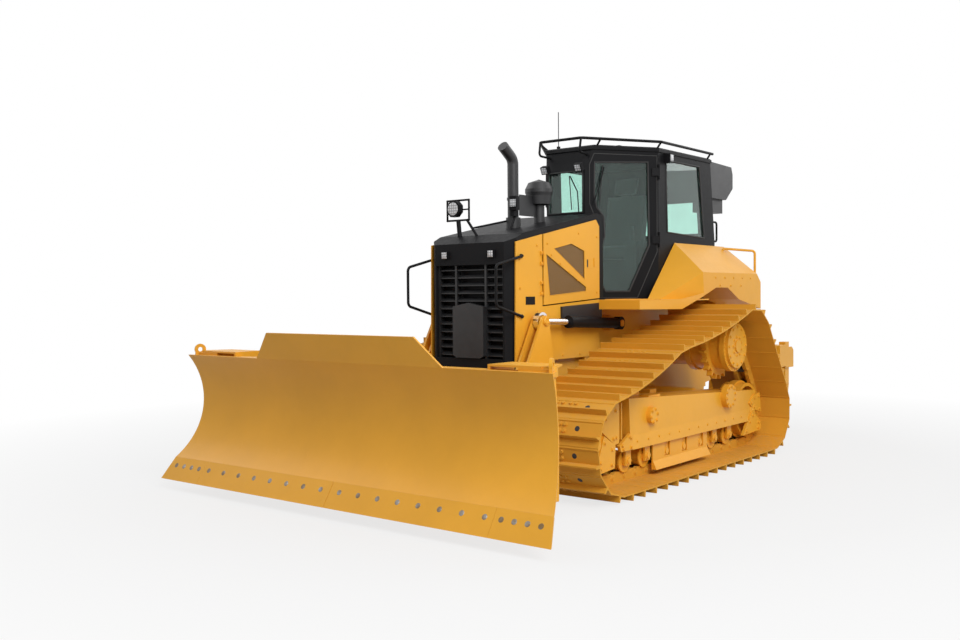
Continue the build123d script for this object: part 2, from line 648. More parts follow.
def make_engine_doors():
    """Engine doors, hinged at their front edge, with two recessed screens."""
    with BuildPart() as door:
        slab([
            (DOOR_HINGE_X - GAP, DOOR_BOTTOM_FRONT), (DOOR_HINGE_X - GAP, hood_edge(DOOR_HINGE_X - GAP)),
            (HOOD_REAR_X + 60, hood_edge(HOOD_REAR_X + 60)), (HOOD_REAR_X + GAP, hood_edge(HOOD_REAR_X) - 70),
            (HOOD_REAR_X + GAP, DOOR_BOTTOM_REAR),
        ], HOOD_HALF + 6, 12)
        for points in (MESH_LOWER, MESH_UPPER):
            slab(points, HOOD_HALF + 6, 8, Mode.SUBTRACT)
        for z in (1700, 1960):
            block((DOOR_HINGE_X - 14, DOOR_HINGE_X - GAP), (HOOD_HALF + 6, HOOD_HALF + 14), (z - 30, z + 30))
            upright(DOOR_HINGE_X, HOOD_HALF + 14, (z - 30, z + 30), 9)
            block((DOOR_HINGE_X - 14, DOOR_HINGE_X), (HOOD_HALF + 6, HOOD_HALF + 14), (z - 30, z + 30))
            upright(DOOR_HINGE_X, HOOD_HALF + 14, (z - 40, z + 40), 5 + PIN_PLAY, Mode.SUBTRACT)
        block((300, 345), (HOOD_HALF + 6, HOOD_HALF + 14), (1900, 1980))
    both_sides(door, "engine_door_left", "engine_door_right")


# ---------------------------------------------------------------- cab
DOOR_SPAN = hypot(CAB_FRONT_X - CAB_PILLAR_X, CAB_PILLAR_HALF - CAB_FRONT_HALF)
DOOR_ALONG = Vector(CAB_FRONT_X - CAB_PILLAR_X, CAB_FRONT_HALF - CAB_PILLAR_HALF, 0) / DOOR_SPAN
DOOR_INWARD = Vector(DOOR_ALONG.Y, -DOOR_ALONG.X, 0)
DOOR_FACE = Plane(origin=(CAB_PILLAR_X, CAB_PILLAR_HALF, 0), x_dir=DOOR_ALONG, z_dir=DOOR_INWARD)
# door's outline from its hinge edge forward, and height
DOOR_OUTLINE = [
    (15, 3010), (700, 3010), (750, 2900), (750, 2520), (655, 2300), (648, 1606), (235, 1606), (15, 2060),
]
DOOR_GLASS = [
    (115, 2945), (695, 2925), (700, 2615), (676, 2490), (600, 2400), (592, 2200), (635, 2120),
    (628, 1740), (580, 1668), (325, 1668), (102, 2125),
]
HINGE_OUT = 14.0             # cab door's hinge axis outside the cab wall
WINDSCREEN = [(-200, 2440), (200, 2440), (200, 2840), (-200, 2840)]
SIDE_GLASS = [(-1600, 2235), (-770, 2262), (-745, 2985), (-1480, 2985)]
REAR_GLASS = [(-480, 2300), (480, 2300), (480, 2640), (-480, 2640)]


def cab_plan(inset):
    """Half of the cab's outline from above, moved inwards."""
    ux, uy = DOOR_ALONG.X, DOOR_ALONG.Y
    nx, ny = DOOR_INWARD.X, DOOR_INWARD.Y
    front_x = CAB_FRONT_X - inset
    # point where the moved door wall meets the moved windscreen wall
    ax, ay = CAB_PILLAR_X + nx * inset, CAB_PILLAR_HALF + ny * inset
    front_y = ay + uy * (front_x - ax) / ux
    pillar_y = CAB_PILLAR_HALF - inset
    pillar_x = ax + ux * (pillar_y - ay) / uy
    return [(front_x, front_y), (pillar_x, pillar_y), (CAB_REAR_X + inset, pillar_y)]


def closed_plan(inset):
    """Whole outline of the cab from above."""
    half = cab_plan(inset)
    return half + [(x, -y) for x, y in reversed(half)]


def rear_wall_x(z):
    """Outer face of the cab's leaning rear wall at a height."""
    share = (z - CAB_REAR_LEAN_Z) / (CAB_TOP - CAB_REAR_LEAN_Z)
    return CAB_REAR_X + (CAB_REAR_TOP_X - CAB_REAR_X) * max(0.0, share)


def grown(points, by):
    """Outline moved outwards by a distance, corner by corner."""
    area = sum(a[0] * b[1] - b[0] * a[1] for a, b in zip(points, points[1:] + points[:1]))
    turn = by if area > 0 else -by
    result = []
    for i, p in enumerate(points):
        before, after = points[i - 1], points[(i + 1) % len(points)]
        d1 = Vector(p[0] - before[0], p[1] - before[1]).normalized()
        d2 = Vector(after[0] - p[0], after[1] - p[1]).normalized()
        n1, n2 = Vector(d1.Y, -d1.X), Vector(d2.Y, -d2.X)
        n = n1 + n2
        result.append((p[0] + n.X * turn / (1 + n1.dot(n2)), p[1] + n.Y * turn / (1 + n1.dot(n2))))
    return result


def lean_cut(inset=0.0):
    """Cut the open part to the leaning rear wall and the windscreen wall's slope, moved inwards."""
    front, rear, high = CAB_FRONT_X + 20, CAB_REAR_X - 20, CAB_TOP + 200
    slope = (CAB_BROW_X - CAB_FRONT_X) / (CAB_TOP - CAB_BROW_Z)
    slab([
        (CAB_FRONT_X - inset, CAB_BROW_Z), (front, CAB_BROW_Z), (front, high),
        (CAB_FRONT_X - inset + slope * (high - CAB_BROW_Z), high),
    ], 1000, 2000, Mode.SUBTRACT)
    slope = (CAB_REAR_TOP_X - CAB_REAR_X) / (CAB_TOP - CAB_REAR_LEAN_Z)
    slab([
        (CAB_REAR_X + inset, CAB_REAR_LEAN_Z), (CAB_REAR_X + inset + slope * (high - CAB_REAR_LEAN_Z), high),
        (rear, high), (rear, CAB_REAR_LEAN_Z),
    ], 1000, 2000, Mode.SUBTRACT)


def cab_hull():
    """Outer form of the cab's walls, without openings."""
    with BuildPart() as hull:
        outline(Plane.XY.offset(CAB_FLOOR), closed_plan(0), CAB_TOP - CAB_FLOOR)
        lean_cut()
    return hull.part


HINGE_PLACES = (2180, 2850)  # heights of a cab door's hinges
HINGE_XY = (CAB_PILLAR_X - DOOR_INWARD.X * HINGE_OUT, CAB_PILLAR_HALF - DOOR_INWARD.Y * HINGE_OUT)


def make_cab_shell():
    """Hollow cab: floor, walls with their windows and door openings, and the doors' hinge pins."""
    with BuildPart() as left_cuts:
        outline(DOOR_FACE.offset(-5), grown(DOOR_OUTLINE, GAP), CAB_WALL + 60)
        outline(side_plane(CAB_PILLAR_HALF + 5), SIDE_GLASS, CAB_WALL + 10)
    with BuildPart() as room:
        outline(Plane.XY.offset(CAB_FLOOR + CAB_WALL), closed_plan(CAB_WALL), CAB_TOP - CAB_FLOOR)
        lean_cut(CAB_WALL)
    hull = cab_hull()
    with BuildPart() as shell:
        add(hull)
        add(room.part, mode=Mode.SUBTRACT)
        add(left_cuts.part, mode=Mode.SUBTRACT)
        mirror(left_cuts.part, about=Plane.XZ, mode=Mode.SUBTRACT)
        outline(Plane.YZ.offset(CAB_FRONT_X - CAB_WALL - 5), WINDSCREEN, CAB_WALL + 10, Mode.SUBTRACT)
        outline(Plane.YZ.offset(CAB_REAR_X - 5), REAR_GLASS, 200, Mode.SUBTRACT)
        for side in (1, -1):
            x, y = HINGE_XY[0], side * HINGE_XY[1]
            for z in HINGE_PLACES:
                upright(x, y, (z - 75, z + 75), 7)
                for low in (z - 75, z + 42):
                    upright(x, y, (low, low + 33), 13)
                    block((x - 45, x), (y - side * 14 - 6, y - side * 14 + 6), (low, low + 33))
    save(shell, "cab_shell")


def make_cab_roof():
    """Roof cap with its raised hatch and the aerial."""
    with BuildPart() as roof:
        outline(Plane.XY.offset(CAB_TOP), closed_plan(-ROOF_OVER), ROOF_THICK)
        lean_cut(-ROOF_OVER)
        chamfer(roof.faces().sort_by(Axis.Z)[-1].edges(), 14)
        block((-1500, -300), (-380, 380), (ROOF_TOP - 1, ROOF_TOP + 18))
        upright(-60, -180, (ROOF_TOP - 1, ROOF_TOP + 30), 18)
        upright(-60, -180, (ROOF_TOP, AERIAL_TOP), 4)
    save(roof, "cab_roof")


def make_cab_glass():
    """Fixed panes of the windscreen, the sides and the rear."""
    low, high = REAR_GLASS[0][1] + RUN, REAR_GLASS[2][1] - RUN
    with BuildPart() as side_panes:
        slab(grown(SIDE_GLASS, -RUN), CAB_PILLAR_HALF - 12, GLASS)
    with BuildPart() as glass:
        add(side_panes.part)
        mirror(side_panes.part, about=Plane.XZ)
        outline(Plane.YZ.offset(CAB_FRONT_X - 20), grown(WINDSCREEN, -RUN), GLASS)
        slab([
            (rear_wall_x(low) + 14, low), (rear_wall_x(high) + 14, high),
            (rear_wall_x(high) + 14 + GLASS, high), (rear_wall_x(low) + 14 + GLASS, low),
        ], REAR_GLASS[1][0] - RUN, 2 * (REAR_GLASS[1][0] - RUN))
    save(glass, "cab_glass")


def make_cab_doors():
    """Cab doors with their hinge knuckles and pull handles, and the panes in them."""
    x, y = HINGE_XY
    with BuildPart() as door:
        outline(DOOR_FACE, DOOR_OUTLINE, CAB_WALL)
        outline(DOOR_FACE.offset(-5), DOOR_GLASS, CAB_WALL + 10, Mode.SUBTRACT)
        for z in HINGE_PLACES:
            upright(x, y, (z - 38, z + 38), 13)
            outline(Plane(origin=(x, y, z - 38), x_dir=DOOR_ALONG, z_dir=(0, 0, 1)), [
                (0, -12), (20, -HINGE_OUT - 2), (75, -HINGE_OUT - 2), (75, -4), (0, 12),
            ], 76)
            upright(x, y, (z - 45, z + 45), 7 + PIN_PLAY, Mode.SUBTRACT)
        # pull handle near the front edge
        outline(DOOR_FACE.offset(-22), [(660, 2380), (690, 2380), (690, 2420), (660, 2420)], 23)
    both_sides(door, "cab_door_left", "cab_door_right")
    with BuildPart() as pane:
        outline(DOOR_FACE.offset(14), grown(DOOR_GLASS, -RUN), GLASS)
    both_sides(pane, "door_glass_left", "door_glass_right")


def make_cab_inside():
    """Seat, armrests and the consoles."""
    floor = CAB_FLOOR + CAB_WALL
    with BuildPart() as seat:
        block((-1120, -640), (-250, 250), (2010, 2130))
        slab([(-1080, 2130), (-980, 2130), (-1080, 2690), (-1180, 2690)], 240, 480)
        slab([(-1095, 2715), (-1030, 2715), (-1070, 2880), (-1135, 2880)], 130, 260)
        slab([(-1085, 2680), (-1105, 2680), (-1115, 2725), (-1085, 2725)], 60, 120)
    save(seat, "seat")
    with BuildPart() as base:
        block((-1080, -700), (-190, 190), (floor, 2009.7))
        for side in (-1, 1):
            block((-1150, -560), (side * 340 - 75, side * 340 + 75), (floor, 2180))
            bar((-620, side * 340, 2170), (-600, side * 335, 2330), 26)
        slab([(40, floor), (-60, floor), (-130, 2330), (-40, 2400), (40, 2400)], 170, 340)
    save(base, "cab_consoles")


# ---------------------------------------------------------------- fenders, tank, deck
def cut_above(points):
    """Remove what lies above or outside the plane through three points."""
    a, b, c = (Vector(*p) for p in points)
    normal = (b - a).cross(c - a)
    if normal.Z + normal.Y < 0:
        normal = -normal
    with BuildSketch(Plane(origin=a, x_dir=b - a, z_dir=normal)) as face:
        Rectangle(9000, 9000)
    extrude(face.sketch, amount=3000, mode=Mode.SUBTRACT)


RIDGE_FRONT = (-909, FENDER_IN, 2159)   # front end of the fender's top ridge beside the cab
BROW_FRONT = (-762, FENDER_OUT, 1852)   # front end of its outer face
BROW_REAR_Z = 1848.0


def make_fenders():
    """Faceted tank and fender over each track, with its deck, its lip and the rail behind."""
    with BuildPart() as fender:
        slab([
            (-300, DECK_TOP - 12), (-300, 2160), (FENDER_REAR_X, 2160), (FENDER_REAR_X, 1470), (-1600, 1577),
            (-1320, 1700), (-1050, 1700), (-600, DECK_TOP - 12),
        ], FENDER_OUT, FENDER_OUT - FENDER_IN)
        cut_above([BROW_FRONT, RIDGE_FRONT, (FENDER_REAR_X, FENDER_OUT, BROW_REAR_Z)])
        cut_above([(-348, FENDER_IN, DECK_TOP), RIDGE_FRONT, BROW_FRONT])
        cut_above([(-403, 781, DECK_TOP), BROW_FRONT, (-780, FENDER_OUT, 1650)])
        cut_above([(-2060, FENDER_OUT, 1849), (-2060, FENDER_IN, 2158), (FENDER_REAR_X, FENDER_OUT, 1760)])
        # outer lip, low enough for the cab door to swing over, and the deck out to it
        slab([
            (490, DECK_TOP), (95, DECK_TOP), (-330, DECK_TOP + 3), (-799, 1649), (-1050, 1700), (-720, 1600),
            (-320, 1495), (490, 1505),
        ], FENDER_OUT, 10)
        block((-900, 235), (HULL_HALF + RUN, FENDER_OUT - 5), (DECK_TOP - 12, DECK_TOP))
        block((230, 490), (DECK_STEP_IN, FENDER_OUT - 5), (DECK_TOP - 12, DECK_TOP))
        block((480, 490), (DECK_STEP_IN, FENDER_OUT - 5), (1505, DECK_TOP))
    both_sides(fender, "fender_left", "fender_right")

    with BuildPart() as rail:
        tube([(-2120, 1000, 1780), (-2120, 1000, 2100), (-1900, 720, 2130), (-1900, 720, 2000)], 35, 13)
        add(fender.part.moved(Location((0, 0, RUN))), mode=Mode.SUBTRACT)
    kept = rail.part.solids().sort_by(Axis.Z)[-1]
    on_both(kept, "rear_rails")


AIR_FRONT_X = -1762.0        # air conditioner's front above the cab's rear edge, and its back
AIR_REAR_X = -2435.0


def make_rear_tank():
    """Tank behind the cab, between the fenders."""
    half = FENDER_IN - RUN
    with BuildPart() as tank:
        slab([
            (CAB_REAR_X - RUN, 1440.3), (CAB_REAR_X - RUN, 2120), (FENDER_REAR_X + 60, 2120),
            (FENDER_REAR_X, 1900), (FENDER_REAR_X, 1440.3),
        ], half, 2 * half)
    save(tank, "rear_tank")


def make_hvac():
    """Air conditioner's box against the cab's leaning rear wall, with its two blowers below."""
    foot, under_roof = 2690, CAB_TOP - RUN
    with BuildPart() as box:
        slab([
            (rear_wall_x(foot) - RUN, foot), (rear_wall_x(under_roof) - RUN, under_roof),
            (AIR_FRONT_X, under_roof), (AIR_FRONT_X, 3088), (-2400, 3070), (AIR_REAR_X, 2990),
            (AIR_REAR_X, 2830), (-2260, foot),
        ], 600, 1200)
        fillet(box.edges().filter_by(Axis.Y).group_by(Axis.X)[0], 20)
        for y in (-560, 380):
            block((-2250, CAB_REAR_X - 20), (y, y + 180), (2540, foot + 1))
    save(box, "rear_air_unit")


# ---------------------------------------------------------------- fittings
STACK_XY = (1020.0, 50.0)     # exhaust stack's axis
STACK_R = 50.0
STACK_BASE_R = 66.0
STACK_BASE_HIGH = 90.0       # how far its base stands above the hood
STACK_COLLAR_R = 56.0
MAST_X = 1440.0
MAST_ROD = 9.0               # radius of the rods of the lamp's hoop


def seat_on_hood():
    """Cut the open part off just above the hood's sloping top."""
    rise = HOOD_CROWN + RUN
    slab([
        (HOOD_REAR_X - 50, hood_edge(HOOD_REAR_X - 50) + rise),
        (HOOD_FRONT_X, hood_edge(HOOD_FRONT_X) + rise),
        (HOOD_FRONT_X, 1500), (HOOD_REAR_X - 50, 1500),
    ], 600, 1200, Mode.SUBTRACT)


def make_exhaust():
    """Exhaust stack with its bent tip, and the air precleaner on its plate beside it."""
    x, y = STACK_XY
    seat_z = hood_edge(x) + HOOD_CROWN
    with BuildPart() as stack:
        tube([(x, y, seat_z - 40), (x, y, 2868), (x + 150, y, 2975)], 90, STACK_R)
        upright(x, y, (seat_z - 40, seat_z + STACK_BASE_HIGH), STACK_BASE_R)
        upright(x, y, (2500, 2524), STACK_COLLAR_R)
        seat_on_hood()
    save(stack, "exhaust_stack")
    px, py = 690, 105
    low = hood_edge(px) + HOOD_CROWN - 60
    # half section of the bowl: radius and height
    section = [
        (0, low), (50, low), (50, 2470), (105, 2480), (118, 2560), (130, 2590), (130, 2620), (100, 2680),
        (0, 2713),
    ]
    with BuildPart() as bowl:
        with BuildSketch(Plane.XZ.offset(-py)) as half:
            with BuildLine():
                Polyline(*[(px + r, z) for r, z in section], close=True)
            make_face()
        revolve(half.sketch, Axis((px, py, 0), (0, 0, 1)))
        block((px + 10, 1003), (96, 108), (2362, 2552))
        upright(x, y, (2300, 2600), STACK_COLLAR_R + RUN, Mode.SUBTRACT)
        seat_on_hood()
    save(bowl, "air_precleaner")


def make_lamps():
    """Lamp mast on the hood with its hoop, rail and strut, and the work lamps."""
    seat_z = hood_edge(MAST_X) + HOOD_CROWN - 20
    hoop = [(-375, 2312), (-125, 2312), (-125, 2490), (-375, 2490)]
    x, y = STACK_XY
    base_top = hood_edge(x) + HOOD_CROWN + STACK_BASE_HIGH
    with BuildPart() as mast:
        bar((MAST_X, -232, seat_z), (MAST_X, -248, 2312), 20)
        bar((MAST_X, -25, seat_z), (MAST_X, -150, 2315), 12)
        for a, b in zip(hoop, hoop[1:] + hoop[:1]):
            bar((MAST_X, *a), (MAST_X, *b), MAST_ROD)
        for a in hoop:
            with Locations((MAST_X, *a)):
                Sphere(MAST_ROD + 1)
        block((MAST_X - 5, MAST_X + MAST_ROD), (-375, -125), (2400, 2412))
        # rail back to the stack's base, and the strut with the arm of the stack's lamp
        bar((MAST_X, -90, 2235), (1038, 19, 2319), 9)
        bar((1150, 100, hood_edge(1150) + HOOD_CROWN - 20), (1040, 100, 2385), 12)
        block((1040, 1110), (85, 125), (2350, 2402))
        upright(x, y, (2150, base_top + RUN), STACK_BASE_R + RUN, Mode.SUBTRACT)
        upright(x, y, (2300, 2450), STACK_R + RUN, Mode.SUBTRACT)
        seat_on_hood()
    save(mast, "hood_fittings")

    octagon = [(78 * cos(pi / 8 + i * pi / 4) - 257, 78 * sin(pi / 8 + i * pi / 4) + 2412) for i in range(8)]
    with BuildPart() as lamps:
        outline(Plane.YZ.offset(MAST_X + MAST_ROD + RUN), octagon, 55)
        block((1074, 1124), (85, 161), (2402 + RUN, 2529))
        for side in (-1, 1):
            block((NOSE_X + RUN, NOSE_X + 24), (side * 257 - 34, side * 257 + 34), (1960, 2028))
            # lamps in front of the cab's brow, each on a bracket
            with Locations(Location((150, side * 195, 2872), (0, 25, 0))):
                Box(52, 80, 76)
            block((CAB_FRONT_X + RUN, 130), (side * 195 - 10, side * 195 + 10), (2838, 2850))
            block((AIR_REAR_X - 50, AIR_REAR_X - RUN), (side * 420 - 45, side * 420 + 45), (2870, 2960))
            block((-790, -700), (side * 688 - 32.7, side * 688 + 32.7), (2955, 3045))
    save(lamps, "work_lamps")


def make_rails():
    """Grab rails beside the nose, and the rails over the cab roof and behind the cab."""
    y = HOOD_HALF + 13
    with BuildPart() as nose_rail:
        tube([(1480, y, 1974), (1850, y, 1890), (1850, y, 1553), (1480, y, 1458)], 45, 12)
        for z in (1972, 1460):
            across(1490, z, (HOOD_HALF + RUN, y), 18)
    on_both(nose_rail.part, "nose_rails")

    z = RAIL_TOP - 14
    left = [(-1750, 680, z), (-585, 690, z), (175, 240, z)]
    # feet on the roof, from above, and where their posts meet the rail
    posts = [((-1700, 630), (-1700, 680)), ((-600, 625), (-585, 690)), ((-40, 275), (-5, 347))]
    hull = cab_hull()
    with BuildPart() as roof_rail:
        for side in (-1, 1):
            for (foot_x, foot_y), (top_x, top_y) in posts:
                bar((foot_x, side * foot_y, ROOF_TOP - 20), (top_x, side * top_y, z), 10)
        block((CAB_REAR_X, CAB_FRONT_X), (-800, 800), (ROOF_TOP - 60, ROOF_TOP + RUN), Mode.SUBTRACT)
        tube(left + [(x, -y, high) for x, y, high in reversed(left)], 60, 14)
        for side in (-1, 1):
            # hoop down to the cab's brow, and the grab handle behind the cab
            tube([(175, side * 238, z), (200, side * 235, 3012), (0, side * 211, 2998)], 30, 11)
            tube([
                (-1800, side * 640, 2420), (-1930, side * 640, 2420), (-1930, side * 640, 2210),
                (-1800, side * 640, 2210),
            ], 30, 11)
        for step in (RUN, -RUN):
            add(hull.moved(Location((step, 0, 0))), mode=Mode.SUBTRACT)
    save(roof_rail, "roof_rails")


def make_valve_boxes():
    """Black box over each lift cylinder, on the side of the engine enclosure."""
    with BuildPart() as box:
        slab([(230, 1415), (230, 1563), (895, 1535), (895, 1415)], HOOD_HALF + 22, 22 - RUN)
    on_both(box.part, "side_boxes")


# ---------------------------------------------------------------- blade and its carriage
ANGLE_BASE = (1930.0, 480.0)   # angle cylinder's rear pin, from above
ANGLE_EYE = (2815.0, 610.0)    # its eye's pin on the blade
ANGLE_Z = 624.0
ANGLE_PIN_R = 14.0
ANGLE_GLAND = 590.0            # from its rear pin to the end of its barrel
ANGLE_ROD = 560.0              # from its eye to the rod's inner end
ANGLE_RING = 62.0              # bore of its eye, wide enough for the drift of its pin


def make_push_frame():
    """C-frame: arms that meet at the nose, towers for the lift cylinders, lugs for the angle ones."""
    eye_r = 95.0
    with BuildPart() as frame:
        for side in (1, -1):
            outline(Plane.XY.offset(ARM_BOTTOM), [
                (PUSH_PIVOT[0], side * ARM_IN), (1760, side * ARM_IN), (2420, side * 60), (2690, side * 60),
                (2690, 0), (2760, 0), (2760, side * 105), (2620, side * 170), (1850, side * ARM_OUT),
                (PUSH_PIVOT[0], side * ARM_OUT),
            ], ARM_TOP - ARM_BOTTOM)
            across(PUSH_PIVOT[0], PUSH_PIVOT[1], (side * ARM_IN, side * ARM_OUT), eye_r)
            through = (side * (ARM_IN - 5), side * (ARM_OUT + 5))
            across(PUSH_PIVOT[0], PUSH_PIVOT[1], through, PUSH_PIN_R + PIN_PLAY, Mode.SUBTRACT)
            for y in (ARM_IN, ARM_OUT - TOWER_PLATE):
                low, high = sorted((side * y, side * (y + TOWER_PLATE)))
                slab([
                    (1115, ARM_TOP - 1), (1880, ARM_TOP - 1), (LIFT_EYE[0] + 55, LIFT_EYE[1] + 15),
                    (LIFT_EYE[0] + 25, LIFT_EYE[1] + 50), (LIFT_EYE[0] - 20, LIFT_EYE[1] + 50),
                    (LIFT_EYE[0] - 52, LIFT_EYE[1]),
                ], high, high - low)
            across(LIFT_EYE[0], LIFT_EYE[1], (side * ARM_IN, side * ARM_OUT), 20)
        # ball seat: lug round the vertical pin
        upright(BALL_X, 0, (TILT_Z - 50, TILT_Z + 50), 110)
        block((2600, BALL_X), (-105, 105), (TILT_Z - 50, TILT_Z + 50))
        upright(BALL_X, 0, (TILT_Z - 200, TILT_Z + 200), 45 + PIN_PLAY, Mode.SUBTRACT)
    with BuildPart() as clear:
        add(frame.part)
        for low, high in ((ARM_BOTTOM - 10, TILT_Z - 50), (TILT_Z + 50, ARM_TOP + 10)):
            upright(BALL_X, 0, (low, high), 150, Mode.SUBTRACT)
        # forks of the angle cylinders' rear pins
        for side in (1, -1):
            x, y = ANGLE_BASE[0], side * ANGLE_BASE[1]
            block((x - 85, x + 45), (y - 45, y + 45), (ARM_TOP - 1, ANGLE_Z - 60))
            block((x - 85, x + 45), (y - 45, y + 45), (ANGLE_Z + 60, ANGLE_Z + 84))
            block((x - 85, x - 48), (y - 45, y + 45), (ARM_TOP - 1, ANGLE_Z + 84))
            upright(x, y, (ANGLE_Z - 85, ANGLE_Z + 100), 16 + PIN_PLAY, Mode.SUBTRACT)
    save(clear, "push_frame")


TILT_BASE = (80.0, 960.0)      # tilt cylinder's pin on the swivel, front view (y, z)
TILT_EYE = (-720.0, 960.0)
TILT_X = 2870.0


def make_swivel():
    """Centre swivel: vertical pin in the C-frame, fore-and-aft pin for the blade, tilt cylinder's post."""
    with BuildPart() as swivel:
        upright(BALL_X, 0, (TILT_Z - 130, TILT_Z + 130), 45)
        for z in (TILT_Z - 130, TILT_Z + 56):
            upright(BALL_X, 0, (z, z + 74), 105)
            block((BALL_X, 2925), (-80, 80), (z, z + 74))
        block((2915, 2940), (-80, 80), (TILT_Z - 130, TILT_Z + 130))
        lengthways(0, TILT_Z, (2930, 3010), 55)
        slab([(2757, TILT_Z + 129), (2822, TILT_Z + 129), (2822, 1020), (2770, 1020)], 45, 90)
        block((2775, 2822), (0, TILT_BASE[0] + 45), (TILT_BASE[1] - 60, TILT_BASE[1] + 60))
        lengthways(TILT_BASE[0], TILT_BASE[1], (2800, 2905), 20)
    save(swivel, "blade_swivel")


def mouldboard_x(z):
    """Front face of the mouldboard at a height: an arc through its three set points."""
    (x1, z1), (x2, z2), (x3, z3) = SEAM, BELLY, LIP
    d = 2 * (x1 * (z2 - z3) + x2 * (z3 - z1) + x3 * (z1 - z2))
    s1, s2, s3 = x1 * x1 + z1 * z1, x2 * x2 + z2 * z2, x3 * x3 + z3 * z3
    cx = (s1 * (z2 - z3) + s2 * (z3 - z1) + s3 * (z1 - z2)) / d
    cz = (s1 * (x3 - x2) + s2 * (x1 - x3) + s3 * (x2 - x1)) / d
    r = hypot(x1 - cx, z1 - cz)
    return cx - sqrt(r * r - (z - cz) ** 2)


def trim_end(side):
    """Cut the open part off outside the plane of the blade's flared end."""
    points = [
        (BELLY[0], side * BLADE_HALF_BELLY, BELLY[1]), (LIP[0], side * BLADE_HALF_TOP, LIP[1]),
        (TIP[0], side * EDGE_HALF, TIP[1]),
    ]
    a, b, c = (Vector(*p) for p in points)
    normal = (b - a).cross(c - a)
    if normal.Y * side < 0:
        normal = -normal
    with BuildSketch(Plane(origin=a, x_dir=b - a, z_dir=normal)) as face:
        Rectangle(6000, 6000)
    extrude(face.sketch, amount=1000, mode=Mode.SUBTRACT)


EYE_SPOT = (3041.0, 1855.0, 1192.0)  # left lifting eye's centre
EYE_NORMAL = (-0.408, 0.913)         # its axis from above
EYE_TURN = 24.1                      # how far its plate is turned, in degrees
EYE_BORE = 20.0
EYE_RING = 48.0
EYE_THICK = 22.0
EYE_NOTCH = (52.0, 60.0)             # width and depth of the shelf's notch behind the eye
RIB_Y = (-1850, -1250, -785, -440, 415, 760, 1225, 1825)
SHELF_Y = (1345, 1850)               # ends of the shelf over each end of the blade


